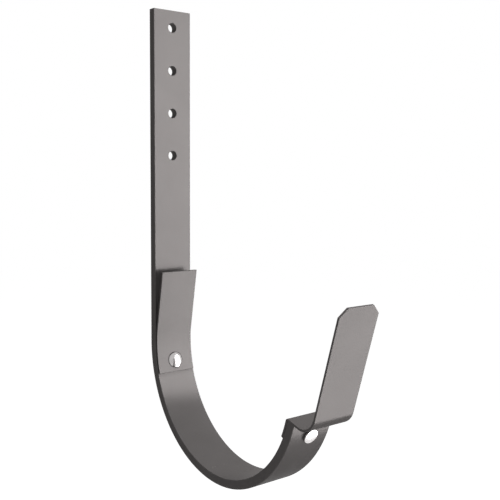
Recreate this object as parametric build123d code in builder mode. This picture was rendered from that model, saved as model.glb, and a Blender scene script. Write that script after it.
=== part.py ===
from build123d import *
import os
from math import asin, cos, degrees, radians, sin

# Gutter bracket: a flat steel bar bent into a half-round seat, with a sheet clip
# riveted on at each side of the seat. All sizes are in millimetres.
# X runs out from the wall, Y along the gutter and Z up. The origin is the middle
# of the row of fixing holes, on the back face of the stem.

# Flat bar
bar_width = 25.0
bar_thickness = 5.0
bar_edge_radius = 0.4

# Fixing holes in the stem
hole_diameter = 5.5
hole_pitch = 25.0
hole_count = 4
top_margin = 10.0

# Half-round seat: its inner radius, how far its centre lies below the middle of
# the holes, and the angle that the bar turns through from the stem to its end
seat_radius = 62.5
seat_drop = 148.5
seat_sweep = 164.2

# Both clips
clip_sheet = 1.2
clip_edge_chamfer = 0.15

# Rear clip: the leg lies on the seat, and the tongue leans away from the stem
rear_clip_inset = 0.5
rear_leg_sweep = 18.5
rear_fold_rise = 1.6
rear_fold_radius = 20.0
rear_tongue_angle = 10.0
rear_tongue_length = 37.5

# Front clip: the leg lies inside the seat, the shelf is folded over the end of the
# bar, and the tongue stands up from a round bend beyond it
front_leg_sweep = 13.0
front_fold_radius = 0.4
shelf_reach = 2.5
front_bend_radius = 8.7
front_tongue_angle = 16.5
front_tongue_length = 56.4
corner_cut = 4.4

# Rivets: a domed head on the clip, and a flat closed end on the outside of the bar.
# The rear one's end is lower, so that it stays in front of the stem's back plane.
rivet_diameter = 5.0
rivet_hole_clearance = 0.05
rivet_head_diameter = 9.4
rivet_head_height = 2.0
rivet_head_land = 0.4
rivet_tail_diameter = 8.0
rivet_tail_chamfer = 0.25
rear_tail_height = 0.6
front_tail_height = 1.5
rear_rivet_angle = 12.0
front_rivet_angle = 157.5

# Places that follow from the sizes
outer_radius = seat_radius + bar_thickness
clip_face_radius = seat_radius - clip_sheet
seat_centre_x = outer_radius
seat_centre_z = -seat_drop
stem_top = hole_pitch * (hole_count - 1) / 2 + top_margin
rear_clip_width = bar_width - 2 * rear_clip_inset
rivet_hole_radius = rivet_diameter / 2 + rivet_hole_clearance


def on_seat(radius, angle):
    """A point of the bar's XZ plane, this far from the seat's centre, at an angle
    counted from the foot of the stem, down and round towards the front."""
    turn = radians(angle)
    return (seat_centre_x - radius * cos(turn), seat_centre_z - radius * sin(turn))


def spoke(angle):
    """The XZ plane with its origin at the seat's centre and its x axis along a spoke."""
    turn = radians(angle)
    return Plane(
        origin=(seat_centre_x, 0, seat_centre_z),
        x_dir=(-cos(turn), 0, -sin(turn)),
        z_dir=(0, -1, 0),
    )


def facing_centre(radius, angle):
    """A plane square to a spoke, whose normal points at the seat's centre."""
    turn = radians(angle)
    x, z = on_seat(radius, angle)
    return Plane(origin=(x, 0, z), x_dir=(0, 1, 0), z_dir=(cos(turn), 0, sin(turn)))


# Hook bar: the path is its outer face, from the top of the stem to the front end
with BuildPart() as hook_bar:
    with BuildSketch(Plane.XZ) as bar_section:
        with BuildLine():
            stem_line = Line((0, stem_top), (0, seat_centre_z))
            JernArc(stem_line @ 1, stem_line % 1, outer_radius, seat_sweep)
            offset(amount=bar_thickness, side=Side.LEFT, closed=True)
        make_face()
        # The inner corner of the front end is broken, to sit inside the clip's fold
        front_corner = Vector(*on_seat(seat_radius, seat_sweep))
        inner_corner = bar_section.vertices().sort_by_distance(front_corner)[0]
        fillet(inner_corner, radius=front_fold_radius)
    extrude(amount=bar_width / 2, both=True)
    side_faces = hook_bar.faces().filter_by(Axis.Y)
    fillet(side_faces.edges(), radius=bar_edge_radius)
    with Locations(Plane(origin=(bar_thickness, 0, 0), x_dir=(0, 1, 0), z_dir=(1, 0, 0))):
        with GridLocations(hole_pitch, hole_pitch, 1, hole_count):
            Hole(radius=hole_diameter / 2, depth=2 * bar_thickness)
    for rivet_angle in (rear_rivet_angle, front_rivet_angle):
        with Locations(facing_centre(clip_face_radius, rivet_angle)):
            Hole(radius=rivet_hole_radius, depth=2 * bar_thickness)
hook_bar.part.label = "hook_bar"

# Rear clip: the path is the face that lies on the bar, from the lower end upwards
with BuildPart() as rear_clip:
    with BuildSketch(Plane.XZ):
        with BuildLine():
            rear_leg = CenterArc(
                (seat_centre_x, seat_centre_z), seat_radius, 180 + rear_leg_sweep, -rear_leg_sweep
            )
            rear_rise = Line(rear_leg @ 1, rear_leg @ 1 + Vector(0, rear_fold_rise))
            rear_fold = JernArc(
                rear_rise @ 1, rear_rise % 1, rear_fold_radius + clip_sheet, -rear_tongue_angle
            )
            Line(rear_fold @ 1, rear_fold @ 1 + (rear_fold % 1) * rear_tongue_length)
            offset(amount=clip_sheet, side=Side.RIGHT, closed=True)
        make_face()
    extrude(amount=rear_clip_width / 2, both=True)
    chamfer(rear_clip.faces().filter_by(Axis.Y).edges(), length=clip_edge_chamfer)
    with Locations(facing_centre(clip_face_radius, rear_rivet_angle)):
        Hole(radius=rivet_hole_radius, depth=2 * clip_sheet)
rear_clip.part.label = "rear_clip"

# Front clip: the path is the face that lies on the bar, from the lower end upwards.
# The fold's centre lies inside the bar's corner, so the leg stops short of the end
# by a small angle, and the fold turns by a right angle less that angle.
fold_angle = degrees(asin(front_fold_radius / (seat_radius + front_fold_radius)))
front_bend_turn = (180 - seat_sweep) + (90 - front_tongue_angle)
with BuildPart() as front_clip:
    with BuildSketch(Plane.XZ):
        with BuildLine():
            front_leg = CenterArc(
                (seat_centre_x, seat_centre_z),
                seat_radius,
                180 + seat_sweep - front_leg_sweep,
                front_leg_sweep - fold_angle,
            )
            front_fold = JernArc(
                front_leg @ 1, front_leg % 1, front_fold_radius, fold_angle - 90
            )
            shelf = Line(front_fold @ 1, on_seat(outer_radius + shelf_reach, seat_sweep))
            front_bend = JernArc(
                shelf @ 1, shelf % 1, front_bend_radius + clip_sheet, front_bend_turn
            )
            Line(front_bend @ 1, front_bend @ 1 + (front_bend % 1) * front_tongue_length)
            offset(amount=clip_sheet, side=Side.LEFT, closed=True)
        make_face()
    extrude(amount=bar_width / 2, both=True)
    for end_face in (front_clip.faces().sort_by(Axis.Z)[0], front_clip.faces().sort_by(Axis.Z)[-1]):
        chamfer(end_face.edges().sort_by(SortBy.LENGTH)[:2], length=corner_cut)
    chamfer(front_clip.faces().filter_by(Axis.Y).edges(), length=clip_edge_chamfer)
    with Locations(facing_centre(clip_face_radius, front_rivet_angle)):
        Hole(radius=rivet_hole_radius, depth=2 * clip_sheet)
front_clip.part.label = "front_clip"


def make_rivet(angle, tail_height):
    """A closed rivet whose head and flat end follow the curved metal that they hold."""
    axis_plane = spoke(angle)
    rivet_axis = Axis(axis_plane.origin, axis_plane.x_dir)
    head_radius = rivet_head_diameter / 2
    tail_radius = rivet_tail_diameter / 2
    land_x = clip_face_radius - rivet_head_land
    apex_x = clip_face_radius - rivet_head_height
    crown_rise = rivet_head_height - rivet_head_land
    crown_radius = (head_radius**2 + crown_rise**2) / (2 * crown_rise)
    with BuildPart() as rivet:
        # Domed head with a short upright land at its rim
        with BuildSketch(axis_plane):
            with BuildLine():
                RadiusArc((apex_x, 0), (land_x, head_radius), crown_radius)
                Polyline(
                    (land_x, head_radius),
                    (clip_face_radius, head_radius),
                    (clip_face_radius, 0),
                    (apex_x, 0),
                )
            make_face()
        revolve(axis=rivet_axis)
        # Flat end, started inside the bar so that it reaches the curved face all round
        with BuildSketch(axis_plane):
            with Locations((outer_radius, 0)):
                Rectangle(2 * tail_height, tail_radius, align=(Align.CENTER, Align.MIN))
        revolve(axis=rivet_axis)
        tail_face = rivet.faces().filter_by(GeomType.PLANE).sort_by(rivet_axis)[-1]
        chamfer(tail_face.edges(), length=rivet_tail_chamfer)
        # The bar and the clip between the head and the end
        with BuildSketch(Plane.XZ):
            with Locations((seat_centre_x, seat_centre_z)):
                Circle(outer_radius)
                Circle(clip_face_radius, mode=Mode.SUBTRACT)
        extrude(amount=rivet_head_diameter, both=True, mode=Mode.SUBTRACT)
        # Shank through the holes
        shank_end = outer_radius + tail_height / 2
        shank_length = shank_end - clip_face_radius + rivet_head_land / 2
        with BuildSketch(facing_centre(shank_end, angle)):
            Circle(rivet_diameter / 2)
        extrude(amount=shank_length)
    return rivet.part


rear_rivet = make_rivet(rear_rivet_angle, rear_tail_height)
rear_rivet.label = "rear_rivet"
front_rivet = make_rivet(front_rivet_angle, front_tail_height)
front_rivet.label = "front_rivet"

os.makedirs("parts", exist_ok=True)
export_step(hook_bar.part, "parts/hook_bar.step")
export_step(rear_clip.part, "parts/rear_clip.step")
export_step(front_clip.part, "parts/front_clip.step")
export_step(rear_rivet, "parts/rear_rivet.step")
export_step(front_rivet, "parts/front_rivet.step")
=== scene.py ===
# %% [markdown]
# # A gutter bracket, from its imported model to a picture
#
# The object is a bracket for a half-round gutter. A flat steel bar is screwed to a
# rafter by its straight stem, and its lower part is bent into a half-round seat.
# Two sheet clips are riveted inside the seat, and their tongues are bent over the
# gutter's edges when it has been laid in.
#
# The CAD model has been made already. This lesson loads it as a fixed
# frame and builds finer pieces in exactly the same places: X runs out from the
# wall, Y along the gutter and Z up, with the origin in the middle of the screw holes.

# %% Load the frame
from math import asin, cos, degrees, pi, radians, sin

import bmesh
import bpy
from mathutils import Matrix, Vector


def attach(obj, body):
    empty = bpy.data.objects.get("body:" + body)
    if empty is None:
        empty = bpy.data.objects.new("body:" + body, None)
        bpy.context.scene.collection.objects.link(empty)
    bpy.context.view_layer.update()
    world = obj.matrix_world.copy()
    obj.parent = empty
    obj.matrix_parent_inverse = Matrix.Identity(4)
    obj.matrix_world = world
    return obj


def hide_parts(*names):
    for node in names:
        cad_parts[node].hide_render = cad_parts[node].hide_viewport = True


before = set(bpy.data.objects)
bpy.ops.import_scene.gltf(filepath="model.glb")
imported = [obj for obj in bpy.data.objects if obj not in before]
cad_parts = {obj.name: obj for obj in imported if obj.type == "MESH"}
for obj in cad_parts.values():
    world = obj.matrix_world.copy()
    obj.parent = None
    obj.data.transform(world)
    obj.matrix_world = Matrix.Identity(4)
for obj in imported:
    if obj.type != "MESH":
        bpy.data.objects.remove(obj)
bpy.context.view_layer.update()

print("nodes:", sorted(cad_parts))

# %% [markdown]
# ## An empty bench
#
# Blender starts with a cube, a lamp and a camera of its own. They aren't part of
# this object, so they go first. Lengths are written in millimetres, as on a
# workshop drawing, and `MM` turns them into Blender's metres.

# %% Clear the bench
MM = 0.001

for start_name in ("Cube", "Light", "Camera"):
    start_object = bpy.data.objects.get(start_name)
    if start_object is not None:
        bpy.data.objects.remove(start_object, do_unlink=True)

# %% [markdown]
# ## The sizes of the bracket
#
# The bar is 25 x 5 mm stock, and the seat takes a 125 mm gutter. The clips are bent
# from 1.2 mm sheet. These sizes could be typed in wherever they are used, but then
# a change would have to be made in many places. So every later step reads the names
# from here, and sizes that only one piece needs stand in that piece's own cell.

# %% Sizes
bar_width = 25.0 * MM
bar_thickness = 5.0 * MM
bar_edge_radius = 0.4 * MM

stem_top = 47.5 * MM
seat_drop = 148.5 * MM
seat_radius = 62.5 * MM
seat_sweep = 164.2
outer_radius = seat_radius + bar_thickness

clip_sheet = 1.2 * MM
clip_edge_radius = 0.15 * MM
clip_face_radius = seat_radius - clip_sheet

seat_centre = Vector((outer_radius, 0, -seat_drop))
print("gutter diameter in mm:", round(2 * seat_radius / MM))

# %% [markdown]
# ## A pen for the bending line
#
# A bent strip is fully described by the line that it follows, seen from its side.
# The bending machine knows that line as a list of moves: so far straight on, then
# so many degrees round such a radius. A Bezier curve could be drawn by hand instead,
# but its arcs would only be nearly round. The `Pen` below works as the machine
# does, and its straight runs and arcs meet without a kink.
#
# The arcs are walked in small steps, so that the finished metal looks round.

# %% The pen
ARC_STEP = 1.25


class Pen:
    """Walks in the XZ plane and notes the points that it passes."""

    def __init__(self, x, z, heading):
        self.place = Vector((x, 0, z))
        self.heading = heading
        self.points = [self.place.copy()]

    def forward(self, length):
        turn = radians(self.heading)
        self.place = self.place + Vector((cos(turn), 0, sin(turn))) * length
        self.points.append(self.place.copy())

    def bend(self, radius, angle, step=ARC_STEP):
        """Turns left through a positive angle and right through a negative one."""
        steps = max(1, round(abs(angle) / step))
        chord = 2 * radius * sin(radians(abs(angle)) / steps / 2)
        for _ in range(steps):
            self.heading += angle / steps / 2
            self.forward(chord)
            self.heading += angle / steps / 2


def on_seat(radius, angle):
    """A point of the XZ plane, by its distance from the seat's centre and its angle
    from the foot of the stem, down and round towards the front."""
    turn = radians(angle)
    return seat_centre + Vector((-radius * cos(turn), 0, -radius * sin(turn)))


def report_line(name, points):
    run = sum((b - a).length for a, b in zip(points, points[1:]))
    print(f"{name}: {len(points)} points, {run / MM:.1f} mm long before bending")


# %% [markdown]
# ## The bar's line
#
# The bar's line is its outer face, from the top of the stem down and round the seat.
# Every line in this lesson is walked so that the metal lies on its left, because
# the strip tree further down puts the metal there.

# %% Draw the bar's line
bar_pen = Pen(0, stem_top, heading=-90)
bar_pen.forward(stem_top + seat_drop)
bar_pen.bend(outer_radius, seat_sweep)
report_line("bar", bar_pen.points)

# %% [markdown]
# ## The rear clip's line
#
# The rear clip lies with its leg on the seat. A gentle fold leads into the tongue,
# which leans away from the stem and leaves a dark gap behind it. The clip is easier
# to draw from its lower end, where the leg starts, so its points are turned round
# afterwards to bring the metal to the left.

# %% Draw the rear clip's line
rear_leg_sweep = 18.5
rear_tongue_angle = 10.0
rear_rise = 1.6 * MM
rear_fold_radius = 20.0 * MM
rear_tongue_length = 37.5 * MM

rear_start = on_seat(seat_radius, rear_leg_sweep)
rear_pen = Pen(rear_start.x, rear_start.z, heading=90 + rear_leg_sweep)
rear_pen.bend(seat_radius, -rear_leg_sweep)
rear_pen.forward(rear_rise)
rear_pen.bend(rear_fold_radius + clip_sheet, -rear_tongue_angle)
rear_pen.forward(rear_tongue_length)
rear_points = list(reversed(rear_pen.points))
report_line("rear clip", rear_points)

# %% [markdown]
# ## The front clip's line
#
# The front clip starts at the hidden lower end of its leg, folds sharply over the
# bar's end, runs out as a short shelf, and turns up round the bend that holds the
# gutter's bead. Its tongue leans outwards.
#
# The corners of both its ends are cut off later. That cut needs a point of the line
# where it begins, so the leg and the tongue are each walked in two parts.

# %% Draw the front clip's line
front_leg_sweep = 13.0
fold_radius = 0.4 * MM
shelf_reach = 2.5 * MM
bead_bend_radius = 8.7 * MM
front_tongue_angle = 16.5
front_tongue_length = 56.4 * MM
corner_cut = 4.4 * MM
cut_angle = degrees(corner_cut / seat_radius)
fold_angle = degrees(asin(fold_radius / (seat_radius + fold_radius)))

front_start = on_seat(seat_radius, seat_sweep - front_leg_sweep)
front_pen = Pen(front_start.x, front_start.z, heading=seat_sweep - front_leg_sweep - 90)
front_pen.bend(seat_radius, cut_angle)
front_pen.bend(seat_radius, front_leg_sweep - cut_angle - fold_angle)
front_pen.bend(fold_radius, fold_angle - 90, step=15)
shelf_end = on_seat(outer_radius + shelf_reach, seat_sweep)
front_pen.forward((shelf_end - front_pen.place).length)
bead_bend_turn = (180 - seat_sweep) + (90 - front_tongue_angle)
front_pen.bend(bead_bend_radius + clip_sheet, bead_bend_turn, step=5)
front_pen.forward(front_tongue_length - corner_cut)
front_pen.forward(corner_cut)
report_line("front clip", front_pen.points)

# %% [markdown]
# ## Small helpers for node trees
#
# Geometry trees and shader trees are both built from nodes and links. `place`
# adds a node and sets its options and its inputs. An input whose value is another
# node's socket becomes a link. So each tree below reads from top to bottom, in the
# order in which the work is done.

# %% Helpers for node trees
def place(tree, kind, inputs=None, **options):
    """Adds a node, sets its options, then fills or links its inputs by name or number."""
    node = tree.nodes.new(kind)
    for option, value in options.items():
        setattr(node, option, value)
    for key, value in (inputs or {}).items():
        socket = node.inputs[key]
        if isinstance(value, bpy.types.NodeSocket):
            tree.links.new(value, socket)
        else:
            socket.default_value = value
    return node


def math_node(tree, operation, *values):
    """One sum. Its inputs are numbers or sockets, and it returns its output socket."""
    return place(tree, "ShaderNodeMath", dict(enumerate(values)), operation=operation).outputs[0]


def new_tree(name, kind, inputs, outputs):
    """A tree with named inputs and outputs. Each is a name and a socket type, with a
    default value where there is one. Returns the tree, its given sockets and its end."""
    tree = bpy.data.node_groups.new(name, kind)
    for direction, sockets in (("INPUT", inputs), ("OUTPUT", outputs)):
        for label, socket_type, *default in sockets:
            socket = tree.interface.new_socket(
                name=label, in_out=direction, socket_type=socket_type
            )
            if default:
                socket.default_value = default[0]
    return tree, tree.nodes.new("NodeGroupInput").outputs, tree.nodes.new("NodeGroupOutput")


# %% [markdown]
# ## From a tree to a plain mesh
#
# A Geometry Nodes modifier stays live, and an export or an STL file can't keep it.
# So `run_nodes` lets the tree work on a line once, takes the result as a plain mesh,
# and removes the modifiers. A tree's input is set by its socket's identifier,
# because two sockets may have the same name.
#
# Real cut edges are never knife sharp. A narrow *Bevel* breaks the edges that the
# drill and the saw leave, and *Weighted Normal* keeps the flat faces flat beside it.
# The printed volume is positive only where all faces point outwards.

# %% Run a tree and keep its mesh
def path_mesh(name, points):
    """Points as a mesh of vertices and edges, which Geometry Nodes can read."""
    mesh = bpy.data.meshes.new(name)
    mesh.from_pydata(points, [(i, i + 1) for i in range(len(points) - 1)], [])
    return mesh


def report_solid(name, mesh):
    solid = bmesh.new()
    solid.from_mesh(mesh)
    volume = solid.calc_volume(signed=True) / MM**3
    gaps = sum(not edge.is_manifold for edge in solid.edges)
    solid.free()
    print(f"{name}: {len(mesh.polygons)} faces, {gaps} open edges, {volume:.0f} cubic mm")


def run_nodes(name, mesh, tree, values, bevel_width=0.0):
    """Runs a geometry tree on a mesh and keeps the result as a plain mesh object."""
    piece = bpy.data.objects.new(name, mesh)
    bpy.context.scene.collection.objects.link(piece)
    modifier = piece.modifiers.new("Nodes", "NODES")
    modifier.node_group = tree
    for item in tree.interface.items_tree:
        if item.item_type == "SOCKET" and item.in_out == "INPUT" and item.name in values:
            modifier[item.identifier] = values[item.name]
    if bevel_width:
        bevel = piece.modifiers.new("Broken edges", "BEVEL")
        bevel.width = bevel_width
        bevel.segments = 2
        bevel.limit_method = "ANGLE"
        bevel.angle_limit = radians(40)
        bevel.use_clamp_overlap = False
    weighted = piece.modifiers.new("Flat faces stay flat", "WEIGHTED_NORMAL")
    weighted.keep_sharp = True
    bpy.context.view_layer.update()
    depsgraph = bpy.context.evaluated_depsgraph_get()
    finished = bpy.data.meshes.new_from_object(piece.evaluated_get(depsgraph))
    piece.modifiers.clear()
    piece.data = finished
    finished.name = name
    report_solid(name, finished)
    return piece


# %% [markdown]
# ## The strip tree: one press for three pieces
#
# The bar and the two clips are the same kind of thing: strip metal of one width
# and thickness, bent along a line, with corners cut off and holes drilled. They
# could be three separate models. But their shape follows one rule, so a single
# Geometry Nodes tree with named inputs makes all three, as one press with three
# sets of tools would.
#
# The line becomes a curve first. Its normal is set to Y all along, so that the
# strip can't twist where the line runs straight down. Each point also keeps its
# distance to the nearer end, which the corner cut needs later.

# %% Strip tree, part 1: the line
strip_tree, given, strip_out = new_tree(
    "bent_strip",
    "GeometryNodeTree",
    [
        ("Line", "NodeSocketGeometry"),
        ("Width", "NodeSocketFloat", bar_width),
        ("Thickness", "NodeSocketFloat", bar_thickness),
        ("Edge Radius", "NodeSocketFloat", bar_edge_radius),
        ("Edge Steps", "NodeSocketInt", 4),
        ("Corner Cut", "NodeSocketFloat", 0.0),
        ("Drilling Plan", "NodeSocketObject"),
        ("Hole Sides", "NodeSocketInt", 48),
        ("Finish", "NodeSocketMaterial"),
    ],
    [("Strip", "NodeSocketGeometry")],
)

line = place(strip_tree, "GeometryNodeMeshToCurve", {"Mesh": given["Line"]})
upright = place(
    strip_tree, "GeometryNodeSetCurveNormal",
    {"Curve": line.outputs["Curve"], "Normal": (0, 1, 0)}, mode="FREE",
)
along = place(strip_tree, "GeometryNodeSplineParameter").outputs["Length"]
total = place(strip_tree, "GeometryNodeSplineLength").outputs["Length"]
to_nearer_end = math_node(
    strip_tree, "MINIMUM", along, math_node(strip_tree, "SUBTRACT", total, along)
)
remembered = place(strip_tree, "GeometryNodeCaptureAttribute")
remembered.capture_items.new("FLOAT", "To Nearer End")
strip_tree.links.new(upright.outputs["Curve"], remembered.inputs["Geometry"])
strip_tree.links.new(to_nearer_end, remembered.inputs["To Nearer End"])
print("strip tree:", len(strip_tree.nodes), "nodes so far")

# %% [markdown]
# ## The section is drawn along the line
#
# Flat bar is rolled, and sheet is cut into strips, and both leave slightly rounded
# long edges. So the section is a rectangle with small fillets. It is moved to one
# side, which puts the line on the strip's face, not in its middle. *Curve to Mesh*
# then draws the section along the line, as if through a die, and closes both ends.

# %% Strip tree, part 2: the section
section = place(
    strip_tree, "GeometryNodeCurvePrimitiveQuadrilateral",
    {"Width": given["Width"], "Height": given["Thickness"]}, mode="RECTANGLE",
)
rounded = place(
    strip_tree, "GeometryNodeFilletCurve",
    {
        "Curve": section.outputs["Curve"],
        "Radius": given["Edge Radius"],
        "Count": given["Edge Steps"],
    },
    mode="POLY",
)
half_thickness = math_node(strip_tree, "MULTIPLY", given["Thickness"], 0.5)
to_the_left = place(strip_tree, "ShaderNodeCombineXYZ", {"Y": half_thickness})
beside_line = place(
    strip_tree, "GeometryNodeTransform",
    {"Geometry": rounded.outputs["Curve"], "Translation": to_the_left.outputs["Vector"]},
)
drawn = place(
    strip_tree, "GeometryNodeCurveToMesh",
    {
        "Curve": remembered.outputs["Geometry"],
        "Profile Curve": beside_line.outputs["Geometry"],
        "Fill Caps": True,
    },
)
print("strip tree:", len(strip_tree.nodes), "nodes so far")

# %% [markdown]
# ## The corners are cut
#
# The front clip's tongue has its two corners cut off at 45 degrees, so that nobody
# is hurt when bending it, and its hidden end has the same. A boolean could cut
# them. It is simpler to pull the sides in: a point that is closer to the end than
# the length of the cut moves towards the middle by what is missing.

# %% Strip tree, part 3: the corners
short_of_cut = math_node(
    strip_tree, "SUBTRACT", given["Corner Cut"], remembered.outputs["To Nearer End"]
)
pull_in = math_node(strip_tree, "MAXIMUM", short_of_cut, 0.0)
where = place(
    strip_tree, "ShaderNodeSeparateXYZ",
    {"Vector": place(strip_tree, "GeometryNodeInputPosition").outputs["Position"]},
)
other_side = math_node(
    strip_tree, "MULTIPLY", math_node(strip_tree, "SIGN", where.outputs["Y"]), -1.0
)
inwards = place(
    strip_tree, "ShaderNodeCombineXYZ",
    {"Y": math_node(strip_tree, "MULTIPLY", other_side, pull_in)},
)
trimmed = place(
    strip_tree, "GeometryNodeSetPosition",
    {"Geometry": drawn.outputs["Mesh"], "Offset": inwards.outputs["Vector"]},
)
print("strip tree:", len(strip_tree.nodes), "nodes so far")

# %% [markdown]
# ## The holes are drilled
#
# The real holes are punched before bending, but they end up square to the metal.
# So they are drilled here with a *Mesh Boolean*. The cutters repeat, and so they
# are instances: one stands on each point of a second object, the drilling plan,
# which holds each hole's radius and direction. Last, the tree makes everything real
# geometry and gives it its finish.

# %% Strip tree, part 4: the holes and the finish
def plan_value(name, data_type):
    node = place(
        strip_tree, "GeometryNodeInputNamedAttribute", {"Name": name}, data_type=data_type
    )
    return node.outputs["Attribute"]


drill_reach = 20 * MM
plan = place(
    strip_tree, "GeometryNodeObjectInfo", {"Object": given["Drilling Plan"]},
    transform_space="RELATIVE",
)
hole_radius = plan_value("hole_radius", "FLOAT")
hole_turn = place(
    strip_tree, "FunctionNodeAlignRotationToVector",
    {"Vector": plan_value("hole_direction", "FLOAT_VECTOR")}, axis="Z",
)
hole_size = place(
    strip_tree, "ShaderNodeCombineXYZ", {"X": hole_radius, "Y": hole_radius, "Z": 1}
)
cutter = place(
    strip_tree, "GeometryNodeMeshCylinder",
    {"Vertices": given["Hole Sides"], "Radius": 1.0, "Depth": drill_reach},
)
cutters = place(
    strip_tree, "GeometryNodeInstanceOnPoints",
    {
        "Points": plan.outputs["Geometry"],
        "Instance": cutter.outputs["Mesh"],
        "Rotation": hole_turn.outputs["Rotation"],
        "Scale": hole_size.outputs["Vector"],
    },
)
real_cutters = place(
    strip_tree, "GeometryNodeRealizeInstances", {"Geometry": cutters.outputs["Instances"]}
)
drilled = place(
    strip_tree, "GeometryNodeMeshBoolean",
    {"Mesh 1": trimmed.outputs["Geometry"], "Mesh 2": real_cutters.outputs["Geometry"]},
    operation="DIFFERENCE", solver="EXACT",
)


def end_tree(tree, mesh, finish, tree_out, label):
    """Shades a tree's mesh smoothly, makes it real, and gives it its finish."""
    smooth = place(
        tree, "GeometryNodeSetShadeSmooth", {"Geometry": mesh, "Shade Smooth": True}
    )
    real = place(
        tree, "GeometryNodeRealizeInstances", {"Geometry": smooth.outputs["Geometry"]}
    )
    finished = place(
        tree, "GeometryNodeSetMaterial",
        {"Geometry": real.outputs["Geometry"], "Material": finish},
    )
    tree.links.new(finished.outputs["Geometry"], tree_out.inputs[label])
    print(tree.name, "is finished with", len(tree.nodes), "nodes")


end_tree(strip_tree, drilled.outputs["Mesh"], given["Finish"], strip_out, "Strip")

# %% [markdown]
# ## The rivet tree: a turned outline
#
# A rivet is a turned shape, so one half of its outline is enough. A *Screw* or
# *Spin* could turn it, but two rivets of different length stand at two angles here,
# so a tree with inputs for both saves work. It draws the outline round a small
# circle, the rivet's waist, and merges the points that meet on the axis. Drawn
# that way round, the skin comes out with its inner side outwards, and so the tree
# flips it.
#
# Turned metal shows fine rings. Each point keeps its distance from the axis under
# the name `ring`, so that the finish can follow the rings wherever the rivet stands.

# %% Rivet tree, part 1: the turned shape
rivet_radius = 2.5 * MM
weld_distance = 0.001 * MM

rivet_tree, given, rivet_out = new_tree(
    "rivet_on_spoke",
    "GeometryNodeTree",
    [
        ("Outline", "NodeSocketGeometry"),
        ("Sides", "NodeSocketInt", 64),
        ("Waist Radius", "NodeSocketFloat", rivet_radius),
        ("Seat Centre", "NodeSocketVector"),
        ("Spoke Angle", "NodeSocketFloat", 0.0),
        ("Finish", "NodeSocketMaterial"),
    ],
    [("Rivet", "NodeSocketGeometry")],
)
outline = place(rivet_tree, "GeometryNodeMeshToCurve", {"Mesh": given["Outline"]})
waist = place(
    rivet_tree, "GeometryNodeCurvePrimitiveCircle",
    {"Resolution": given["Sides"], "Radius": given["Waist Radius"]}, mode="RADIUS",
)
turned = place(
    rivet_tree, "GeometryNodeCurveToMesh",
    {"Curve": waist.outputs["Curve"], "Profile Curve": outline.outputs["Curve"]},
)
closed = place(
    rivet_tree, "GeometryNodeMergeByDistance",
    {"Geometry": turned.outputs["Mesh"], "Distance": weld_distance},
)
outwards = place(rivet_tree, "GeometryNodeFlipFaces", {"Mesh": closed.outputs["Geometry"]})
spot = place(
    rivet_tree, "ShaderNodeSeparateXYZ",
    {"Vector": place(rivet_tree, "GeometryNodeInputPosition").outputs["Position"]},
)
flat_spot = place(
    rivet_tree, "ShaderNodeCombineXYZ", {"X": spot.outputs["X"], "Y": spot.outputs["Y"]}
)
ring = place(
    rivet_tree, "ShaderNodeVectorMath", {0: flat_spot.outputs["Vector"]}, operation="LENGTH"
)
ringed = place(
    rivet_tree, "GeometryNodeStoreNamedAttribute",
    {"Geometry": outwards.outputs["Mesh"], "Name": "ring", "Value": ring.outputs["Value"]},
    data_type="FLOAT", domain="POINT",
)
print("rivet tree:", len(rivet_tree.nodes), "nodes so far")

# %% [markdown]
# ## The rivet is pressed onto curved metal
#
# A riveting tool presses the head down on whatever lies under it, and here that is
# curved sheet. A flat head would float at two sides and cut in at the other two.
# So each point of the head and of the flat end sinks along the rivet to the height
# of an arc round the seat's centre: from a distance z to the root of z² - x².
# Then the rivet is stood on its spoke of the seat.

# %% Rivet tree, part 2: pressed and stood up
across = math_node(rivet_tree, "MULTIPLY", spot.outputs["X"], spot.outputs["X"])
reach = math_node(rivet_tree, "MULTIPLY", spot.outputs["Z"], spot.outputs["Z"])
arc_height = math_node(rivet_tree, "SQRT", math_node(rivet_tree, "SUBTRACT", reach, across))
pressed_spot = place(
    rivet_tree, "ShaderNodeCombineXYZ",
    {"X": spot.outputs["X"], "Y": spot.outputs["Y"], "Z": arc_height},
)
pressed = place(
    rivet_tree, "GeometryNodeSetPosition",
    {"Geometry": ringed.outputs["Geometry"], "Position": pressed_spot.outputs["Vector"]},
)
spoke_turn = place(rivet_tree, "ShaderNodeCombineXYZ", {"Y": given["Spoke Angle"]})
stood = place(
    rivet_tree, "GeometryNodeTransform",
    {
        "Geometry": pressed.outputs["Geometry"],
        "Rotation": spoke_turn.outputs["Vector"],
        "Translation": given["Seat Centre"],
    },
)
end_tree(rivet_tree, stood.outputs["Geometry"], given["Finish"], rivet_out, "Rivet")

# %% [markdown]
# ## Shared effect 1: worn edges with a painted highlight
#
# The steel wears a satin graphite coating and the rivets are bare aluminium, but
# they share some marks of use and one painted highlight. Each such effect is a shader node
# group, built once and placed in both materials with its own values. A group gives out only a
# mask from 0 to 1. What the mask does to colour and gloss is decided in the material.
#
# Edges are painted lighter than faces. This is partly wear and partly a painted
# highlight: the light line that rounded edges catch. They could be painted by hand, but a
# *Bevel* node
# finds them by itself: it rounds the normal by looking at the faces near by, and
# where that rounded normal leans away from the real one, an edge is near. A noise
# breaks the wear up, since no edge wears evenly, and Evenness keeps part of the line everywhere.

# %% Group: worn edges and a painted highlight
def stretch(tree, value, low, high):
    """Spreads a value so that low becomes 0 and high becomes 1, and no further."""
    node = place(
        tree, "ShaderNodeMapRange", {"Value": value, "From Min": low, "From Max": high},
        clamp=True,
    )
    return node.outputs["Result"]


# This mask lightens edges: partly wear, partly a painted highlight.
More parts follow.
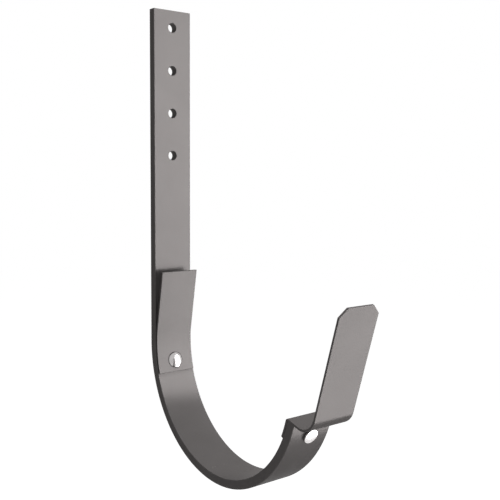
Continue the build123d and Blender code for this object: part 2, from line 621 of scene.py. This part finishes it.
edge_wear_and_highlight, given, group_out = new_tree(
    "edge_wear_and_highlight",
    "ShaderNodeTree",
    [
        ("Position", "NodeSocketVector"),
        ("Reach", "NodeSocketFloat", 0.4 * MM),
        ("Patches per Metre", "NodeSocketFloat", 120.0),
        ("Evenness", "NodeSocketFloat", 0.5),
    ],
    [("Worn", "NodeSocketFloat")],
)
rounded_normal = place(edge_wear_and_highlight, "ShaderNodeBevel", {"Radius": given["Reach"]}, samples=6)
real_normal = place(edge_wear_and_highlight, "ShaderNodeNewGeometry")
agreement = place(
    edge_wear_and_highlight, "ShaderNodeVectorMath",
    {0: rounded_normal.outputs["Normal"], 1: real_normal.outputs["Normal"]},
    operation="DOT_PRODUCT",
)
least_lean, full_lean = 0.01, 0.15
lean = math_node(edge_wear_and_highlight, "SUBTRACT", 1.0, agreement.outputs["Value"])
edge = stretch(edge_wear_and_highlight, lean, least_lean, full_lean)
patches = place(
    edge_wear_and_highlight, "ShaderNodeTexNoise",
    {"Vector": given["Position"], "Scale": given["Patches per Metre"], "Detail": 4.0},
)
spared, rubbed_through = 0.35, 0.65
rubbed = stretch(edge_wear_and_highlight, patches.outputs["Fac"], spared, rubbed_through)
rubbed = math_node(edge_wear_and_highlight, "MAXIMUM", rubbed, given["Evenness"])
edge_wear_and_highlight.links.new(math_node(edge_wear_and_highlight, "MULTIPLY", edge, rubbed), group_out.inputs["Worn"])
print("edge_wear_and_highlight:", len(edge_wear_and_highlight.nodes), "nodes")

# %% [markdown]
# ## Shared effect 2: a drifting tone
#
# Sprayed lacquer is a little thicker in one place than in another, and handled
# metal dulls unevenly. Seen from a metre away this is hardly a pattern, but without
# it a large face looks like plastic. A soft noise with clouds of some centimetres
# is enough, or of some millimetres on a rivet.

# %% Group: drifting tone
drifting_tone, given, group_out = new_tree(
    "drifting_tone",
    "ShaderNodeTree",
    [("Position", "NodeSocketVector"), ("Clouds per Metre", "NodeSocketFloat", 40.0)],
    [("Tone", "NodeSocketFloat")],
)
clouds = place(
    drifting_tone, "ShaderNodeTexNoise",
    {
        "Vector": given["Position"],
        "Scale": given["Clouds per Metre"],
        "Detail": 5.0,
        "Distortion": 0.4,
    },
)
darkest_cloud, lightest_cloud = 0.3, 0.7
tone_mask = stretch(drifting_tone, clouds.outputs["Fac"], darkest_cloud, lightest_cloud)
drifting_tone.links.new(tone_mask, group_out.inputs["Tone"])
print("drifting_tone:", len(drifting_tone.nodes), "nodes")

# %% [markdown]
# ## Shared effect 3: a fine grain
#
# Close up, the coating has a fine orange peel with grains of about 0.7 mm, and a
# turned rivet has fine rings. Both come from one noise. What makes the difference
# is the position that it is given: the place on the piece for the coating, and only
# the distance from the axis for the rivets.

# %% Group: fine grain
fine_grain, given, group_out = new_tree(
    "fine_grain",
    "ShaderNodeTree",
    [("Position", "NodeSocketVector"), ("Grains per Metre", "NodeSocketFloat", 1500.0)],
    [("Grain", "NodeSocketFloat")],
)
specks = place(
    fine_grain, "ShaderNodeTexNoise",
    {
        "Vector": given["Position"],
        "Scale": given["Grains per Metre"],
        "Detail": 2.0,
        "Roughness": 0.6,
    },
)
lowest_speck, highest_speck = 0.25, 0.75
grain_mask = stretch(fine_grain, specks.outputs["Fac"], lowest_speck, highest_speck)
fine_grain.links.new(grain_mask, group_out.inputs["Grain"])
print("fine_grain:", len(fine_grain.nodes), "nodes")

# %% [markdown]
# ## A recipe for a metal finish
#
# `metal_finish` joins the three masks. Tone and grain mix a darker and a lighter
# colour, and the lighter edge colour comes over both: partly wear, partly a painted highlight.
# Roughness drifts with the tone. The grain is also the height of a *Bump* node, only some
# thousandths of a millimetre deep, because deeper grain would blur the reflection of the
# softbox.

# %% The recipe
def mix(tree, kind, factor, first, second):
    """Mixes two numbers or two colours by a mask."""
    node = place(tree, "ShaderNodeMix", data_type=kind)
    first_input, output = {"FLOAT": (2, 0), "RGBA": (6, 2)}[kind]
    for number, value in ((0, factor), (first_input, first), (first_input + 1, second)):
        if isinstance(value, bpy.types.NodeSocket):
            tree.links.new(value, node.inputs[number])
        else:
            node.inputs[number].default_value = value
    return node.outputs[output]


grain_share = 0.3


def metal_finish(name, dark, light, edge_wear_highlight_colour, roughness, sizes, grain_position=None):
    """A metal whose colour, gloss and relief follow the three shared effects. Returns
    the material, its shader and the mask of its worn edges, which also carries a painted
    highlight."""
    material = bpy.data.materials.new(name)
    material.use_nodes = True
    tree = material.node_tree
    shader = tree.nodes["Principled BSDF"]
    where = place(tree, "ShaderNodeTexCoord").outputs["Object"]
    tone = place(
        tree, "ShaderNodeGroup", {"Position": where, "Clouds per Metre": sizes["clouds"]},
        node_tree=drifting_tone,
    ).outputs["Tone"]
    grain_place = grain_position(tree) if grain_position else where
    grain = place(
        tree, "ShaderNodeGroup", {"Position": grain_place, "Grains per Metre": sizes["grains"]},
        node_tree=fine_grain,
    ).outputs["Grain"]
    edge = place(
        tree, "ShaderNodeGroup", {"Position": where, "Reach": sizes["edge_reach"]},
        node_tree=edge_wear_and_highlight,
    ).outputs["Worn"]
    shade = mix(tree, "FLOAT", grain_share, tone, grain)
    face = mix(tree, "RGBA", shade, (*dark, 1), (*light, 1))
    # The lighter edge colour is partly wear and partly a painted highlight.
    tree.links.new(mix(tree, "RGBA", edge, face, (*edge_wear_highlight_colour, 1)), shader.inputs["Base Color"])
    tree.links.new(mix(tree, "FLOAT", tone, *roughness), shader.inputs["Roughness"])
    relief = place(tree, "ShaderNodeBump", {"Height": grain, "Distance": sizes["relief"]})
    relief.inputs["Strength"].default_value = 1.0
    tree.links.new(relief.outputs["Normal"], shader.inputs["Normal"])
    print(name, "has", len(tree.nodes), "nodes")
    return material, shader, edge


# %% [markdown]
# ## The graphite coating
#
# The real coating is a dark lacquer with fine metal flakes. A plain glossy paint
# could stand for it, but its clear gloss would mirror the white room at every
# slanting face, which the real coating hardly does. So the clear gloss is turned
# off, and the finish is made a quarter metallic: the flakes mirror the softbox in
# the coating's own colour, and the rest is matt. Where an edge is lighter, partly from wear and
# partly as a painted highlight, a little more of the metal shows. A number that is the same all
# over, such as the darker tint at grazing angles, is set on the shader itself.

# %% Make the coating
# The lighter edge colour below is partly wear and partly a painted highlight.
coating, shader, edge = metal_finish(
    "graphite_coating",
    dark=(0.123, 0.115, 0.1135), light=(0.142, 0.133, 0.131), edge_wear_highlight_colour=(0.165, 0.155, 0.152),
    roughness=(0.245, 0.275),
    sizes={"clouds": 35.0, "grains": 1400.0, "edge_reach": 0.45 * MM, "relief": 0.005 * MM},
)
# The higher metal share on edges is partly wear and partly a painted highlight.
metal_share, worn_lit_edge_metal_share, grazing_tint = 0.25, 0.27, 0.45
tree = coating.node_tree
metal_mask = mix(tree, "FLOAT", edge, metal_share, worn_lit_edge_metal_share)
tree.links.new(metal_mask, shader.inputs["Metallic"])
shader.inputs["Specular IOR Level"].default_value = 0.0
shader.inputs["Specular Tint"].default_value = (grazing_tint, grazing_tint, grazing_tint, 1)

# %% [markdown]
# ## The rivets' aluminium
#
# The rivets are bare aluminium, turned smooth, and they are the brightest spots of
# the bracket. Their grain runs in rings round their axis. Two rivets stand in two
# directions, and Object coordinates know nothing of that, so the grain is read
# along the `ring` attribute that the rivet tree has stored.

# %% Make the aluminium
def along_rings(tree):
    """A place that changes only with the distance from the rivet's axis."""
    ring = place(tree, "ShaderNodeAttribute", attribute_name="ring", attribute_type="GEOMETRY")
    return place(tree, "ShaderNodeCombineXYZ", {"X": ring.outputs["Fac"]}).outputs["Vector"]


# The lighter edge colour below is partly wear and partly a painted highlight.
aluminium, shader, _ = metal_finish(
    "rivet_aluminium",
    dark=(0.42, 0.405, 0.402), light=(0.52, 0.502, 0.498), edge_wear_highlight_colour=(0.58, 0.563, 0.558),
    roughness=(0.19, 0.25),
    sizes={"clouds": 250.0, "grains": 4000.0, "edge_reach": 0.2 * MM, "relief": 0.002 * MM},
    grain_position=along_rings,
)
shader.inputs["Metallic"].default_value = 1.0

# %% [markdown]
# ## Where the holes go
#
# Four screw holes stand in the stem, 25 mm apart. The two rivets go through the
# seat, square to it, one at each clip. A drilling plan is a mesh of loose points,
# one for each hole, and each point carries the radius and direction of its hole as
# attributes. The strip tree reads them by name.

# %% Drilling plans
screw_hole_radius = 2.75 * MM
screw_hole_heights = (37.5 * MM, 12.5 * MM, -12.5 * MM, -37.5 * MM)
rivet_hole_radius = 2.55 * MM
rear_rivet_angle = 12.0
front_rivet_angle = 157.5


def drilling_plan(name, holes):
    """An object whose points are holes: place, direction and radius of each."""
    mesh = bpy.data.meshes.new(name)
    mesh.from_pydata([spot for spot, _, _ in holes], [], [])
    radii = mesh.attributes.new("hole_radius", "FLOAT", "POINT")
    radii.data.foreach_set("value", [radius for _, _, radius in holes])
    directions = mesh.attributes.new("hole_direction", "FLOAT_VECTOR", "POINT")
    directions.data.foreach_set("vector", [x for _, way, _ in holes for x in way])
    plan_object = bpy.data.objects.new(name, mesh)
    bpy.context.scene.collection.objects.link(plan_object)
    print(f"{name}: {len(holes)} holes")
    return plan_object


def rivet_hole(angle):
    spot = on_seat(seat_radius, angle)
    return spot, (spot - seat_centre).normalized(), rivet_hole_radius


screw_holes = [
    (Vector((0, 0, height)), Vector((1, 0, 0)), screw_hole_radius)
    for height in screw_hole_heights
]
bar_plan = drilling_plan(
    "bar_plan", screw_holes + [rivet_hole(rear_rivet_angle), rivet_hole(front_rivet_angle)]
)
rear_plan = drilling_plan("rear_plan", [rivet_hole(rear_rivet_angle)])
front_plan = drilling_plan("front_plan", [rivet_hole(front_rivet_angle)])

# %% [markdown]
# ## The bar and the two clips
#
# Now the press runs three times, with each piece's line, sizes and drilling plan.
# The rear clip is a millimetre narrower than the bar, and only the front clip has
# its corners cut. The plans are tools, not parts, so they are cleared away after.

# %% Make the strips
rear_clip_width = 24.0 * MM
bar_broken_edge, clip_broken_edge = 0.2 * MM, 0.12 * MM

hook_bar = run_nodes(
    "hook_bar_coated", path_mesh("bar_line", bar_pen.points), strip_tree,
    {"Drilling Plan": bar_plan, "Finish": coating}, bevel_width=bar_broken_edge,
)
clip_sizes = {
    "Thickness": clip_sheet,
    "Edge Radius": clip_edge_radius,
    "Edge Steps": 3,
    "Finish": coating,
}
rear_clip = run_nodes(
    "rear_clip_coated", path_mesh("rear_line", rear_points), strip_tree,
    {**clip_sizes, "Width": rear_clip_width, "Drilling Plan": rear_plan},
    bevel_width=clip_broken_edge,
)
front_clip = run_nodes(
    "front_clip_coated", path_mesh("front_line", front_pen.points), strip_tree,
    {**clip_sizes, "Corner Cut": corner_cut, "Drilling Plan": front_plan},
    bevel_width=clip_broken_edge,
)
for plan_object in (bar_plan, rear_plan, front_plan):
    bpy.data.objects.remove(plan_object, do_unlink=True)

# %% [markdown]
# ## The two rivets
#
# The domed head is on the clip, inside the seat, with a short upright land at its
# rim. The flat end is outside, under the bar. The rear one is pressed nearly flush,
# because it lies against the rafter. The outline is written as a radius and a
# distance from the seat's centre, from the top of the dome to the flat end.

# %% Make the rivets
head_radius = 4.7 * MM
head_height = 2.0 * MM
head_land = 0.4 * MM
end_radius = 4.0 * MM
end_chamfer = 0.25 * MM
dome_steps = 10
rear_end_height, front_end_height = 0.6 * MM, 1.5 * MM


def rivet_outline(end_height):
    """Half of the outline, as places beside the waist circle that it is drawn round."""
    rise = head_height - head_land
    dome_radius = (head_radius**2 + rise**2) / (2 * rise)
    half_angle = asin(head_radius / dome_radius)
    apex = clip_face_radius - head_height
    outline_points = []
    for step in range(dome_steps + 1):
        turn = half_angle * step / dome_steps
        outline_points.append((dome_radius * sin(turn), apex + dome_radius * (1 - cos(turn))))
    outline_points += [
        (head_radius, clip_face_radius),
        (rivet_radius, clip_face_radius),
        (rivet_radius, outer_radius),
        (end_radius, outer_radius),
        (end_radius, outer_radius + end_height - end_chamfer),
        (end_radius - end_chamfer, outer_radius + end_height),
        (0, outer_radius + end_height),
    ]
    return [Vector((radius - rivet_radius, height, 0)) for radius, height in outline_points]


def make_rivet(name, angle, end_height):
    return run_nodes(
        name, path_mesh(name + "_outline", rivet_outline(end_height)), rivet_tree,
        {"Seat Centre": seat_centre, "Spoke Angle": radians(-90 - angle), "Finish": aluminium},
    )


rear_rivet = make_rivet("rear_rivet_bright", rear_rivet_angle, rear_end_height)
front_rivet = make_rivet("front_rivet_bright", front_rivet_angle, front_end_height)

# %% [markdown]
# ## Each piece takes its place in the frame
#
# The frame still holds the plain CAD parts. Each finished piece replaces the CAD
# part that it was built for and rides on the same rigid body. Nothing on this bracket
# moves, so there is one body alone, the root.

# %% Ride and replace
for piece, node, slot in (
    (hook_bar, "hook_bar", "graphite_coating"),
    (rear_clip, "rear_clip", "graphite_coating"),
    (front_clip, "front_clip", "graphite_coating"),
    (rear_rivet, "rear_rivet", "rivet_aluminium"),
    (front_rivet, "front_rivet", "rivet_aluminium"),
):
    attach(piece, "root")
    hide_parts(node)
    print(piece.name, "replaces", node)

# %% [markdown]
# ## A white room
#
# The photograph shows the bracket free on white. A white floor under strong lamps
# would do that too, but so much light would bleach the object. So the floor and the
# world are white only to the eye and to reflections: *Light Path* tells a camera,
# glossy or transmission ray from the others. For all other rays the room is dim,
# and the lamps alone light the metal. The floor lies well below the bracket, which
# hangs on its screws, and it still takes its soft shadow.

# %% Floor and world
def seen_directly(tree):
    """1 for camera, glossy and transmission rays, and 0 for all others."""
    rays = place(tree, "ShaderNodeLightPath").outputs
    seen = math_node(tree, "MAXIMUM", rays["Is Camera Ray"], rays["Is Glossy Ray"])
    return math_node(tree, "MAXIMUM", seen, rays["Is Transmission Ray"])


floor_reach, floor_height = 6.0, -0.9
floor_grey, floor_glow = 0.8, 0.95
floor_mesh = bpy.data.meshes.new("floor")
floor_sides = ((-1, -1), (1, -1), (1, 1), (-1, 1))
floor_corners = [(x * floor_reach, y * floor_reach, floor_height) for x, y in floor_sides]
floor_mesh.from_pydata(floor_corners, [], [(0, 1, 2, 3)])
floor = bpy.data.objects.new("floor", floor_mesh)
bpy.context.scene.collection.objects.link(floor)

floor_paint = bpy.data.materials.new("pale_floor")
floor_paint.use_nodes = True
tree = floor_paint.node_tree
tree.nodes.clear()
matt = place(tree, "ShaderNodeBsdfDiffuse", {"Color": (floor_grey, floor_grey, floor_grey, 1)})
glow_strength = math_node(tree, "MULTIPLY", seen_directly(tree), floor_glow)
glow = place(tree, "ShaderNodeEmission", {"Color": (1, 1, 1, 1), "Strength": glow_strength})
both = place(tree, "ShaderNodeAddShader", {0: matt.outputs[0], 1: glow.outputs[0]})
place(tree, "ShaderNodeOutputMaterial", {"Surface": both.outputs[0]})
floor_mesh.materials.append(floor_paint)

room_fill = 0.06
world = bpy.data.worlds.new("studio")
bpy.context.scene.world = world
world.use_nodes = True
tree = world.node_tree
tree.nodes.clear()
level = math_node(
    tree, "ADD", math_node(tree, "MULTIPLY", seen_directly(tree), 1 - room_fill), room_fill
)
sky = place(tree, "ShaderNodeBackground", {"Color": (1, 1, 1, 1), "Strength": level})
place(tree, "ShaderNodeOutputWorld", {"Surface": sky.outputs[0]})
print("world fill:", room_fill)

# %% [markdown]
# ## Three soft lamps for the shape
#
# A matt face shows how much light it gets, so three softboxes give each direction
# its level: most from above, less from the front, and some from behind for the
# views from the back. A level of 1 makes a white matt surface that faces the lamp
# render white. The power that this needs grows with the square of the distance.

# %% Lamps for matt light
aim = Vector((0.07, 0, -0.1))


def softbox(name, centre, width, height, power):
    lamp = bpy.data.lights.new(name, "AREA")
    lamp.shape = "RECTANGLE"
    lamp.size, lamp.size_y = width, height
    lamp.energy = power
    stand = bpy.data.objects.new(name, lamp)
    stand.location = centre
    stand.visible_camera = False
    bpy.context.scene.collection.objects.link(stand)
    print(f"{name}: {power:.1f} W")
    return stand


def matt_light(name, direction, size, level, distance=1.0):
    """A square softbox that gives matt faces turned to it this level of brightness."""
    centre = aim + Vector(direction).normalized() * distance
    stand = softbox(name, centre, size, size, level * pi**2 * distance**2)
    stand.rotation_euler = (aim - centre).to_track_quat("-Z", "Y").to_euler()
    stand.visible_glossy = False


matt_light("top_softbox", (0.12, 0.15, 0.98), size=0.6, level=1.2)
matt_light("front_softbox", (0.95, 0.25, -0.1), size=0.5, level=0.32)
matt_light("back_softbox", (-0.9, 0.35, -0.05), size=0.6, level=0.9)

# %% [markdown]
# ## One tall softbox for the gloss
#
# In the photograph the stem and both tongues are the brightest faces, although they
# face no lamp. They mirror a tall softbox beside the camera, and the seat turns
# dark where its curve no longer mirrors it. Only a lamp in the right place gives
# that sudden change at a third of the way down. Its place was found by following
# the view back from the metal. It leans a little, because the lower faces
# look further round than the upper ones.

# %% Lamp for the gloss
tall_bearing, tall_distance, tall_height = radians(46.0), 0.6, -0.25
tall_lean = radians(13.0)
tall_width, tall_length, tall_radiance = 0.48, 1.11, 7.05

foot = Vector((aim.x, 0, tall_height))
centre = foot + Vector((cos(tall_bearing), sin(tall_bearing), 0)) * tall_distance
tall = softbox(
    "tall_softbox", centre, tall_width, tall_length,
    tall_radiance * pi * tall_width * tall_length,
)
facing = (foot - centre).to_track_quat("-Z", "Y").to_matrix()
tall.rotation_euler = (facing @ Matrix.Rotation(tall_lean, 3, "Z")).to_euler()
tall.visible_diffuse = False

# %% [markdown]
# ## The camera
#
# The camera's place was worked out from the photograph: points whose places on the
# bracket are known, such as the holes and the ends of the tongues, have to fall on
# the same points of the picture. The photograph is a piece cut from a larger
# picture, so its centre of perspective lies high. A small vertical shift of the
# lens follows that as far as the other views, which keep it, can bear.

# %% Camera
focal_pixels, frame_pixels, sensor_width = 764.312, 500, 36.0
camera_spot = Vector((398.44342, -243.50803, -48.98884)) * MM
yaw, pitch, roll = 0.65516, -0.08445, 0.00578
lens_shift, nearest_seen = -0.02, 0.01

lens = bpy.data.cameras.new("camera")
lens.sensor_width = sensor_width
lens.lens = focal_pixels / frame_pixels * sensor_width
lens.shift_y = lens_shift
lens.clip_start = nearest_seen
camera = bpy.data.objects.new("camera", lens)
bpy.context.scene.collection.objects.link(camera)
bpy.context.scene.camera = camera

forward = Vector((-cos(yaw) * cos(pitch), sin(yaw) * cos(pitch), sin(pitch)))
right = forward.cross(Vector((0, 0, 1))).normalized()
up = right.cross(forward)
right, up = right * cos(roll) + up * sin(roll), up * cos(roll) - right * sin(roll)
camera_turn = Matrix((right, up, -forward)).transposed().to_4x4()
camera.matrix_world = Matrix.Translation(camera_spot) @ camera_turn
print(f"lens: {lens.lens:.1f} mm")

# %% [markdown]
# ## The last settings
#
# *Standard* shows each colour as it was written, without a film look.

# %% Settings
bpy.context.scene.view_settings.view_transform = "Standard"
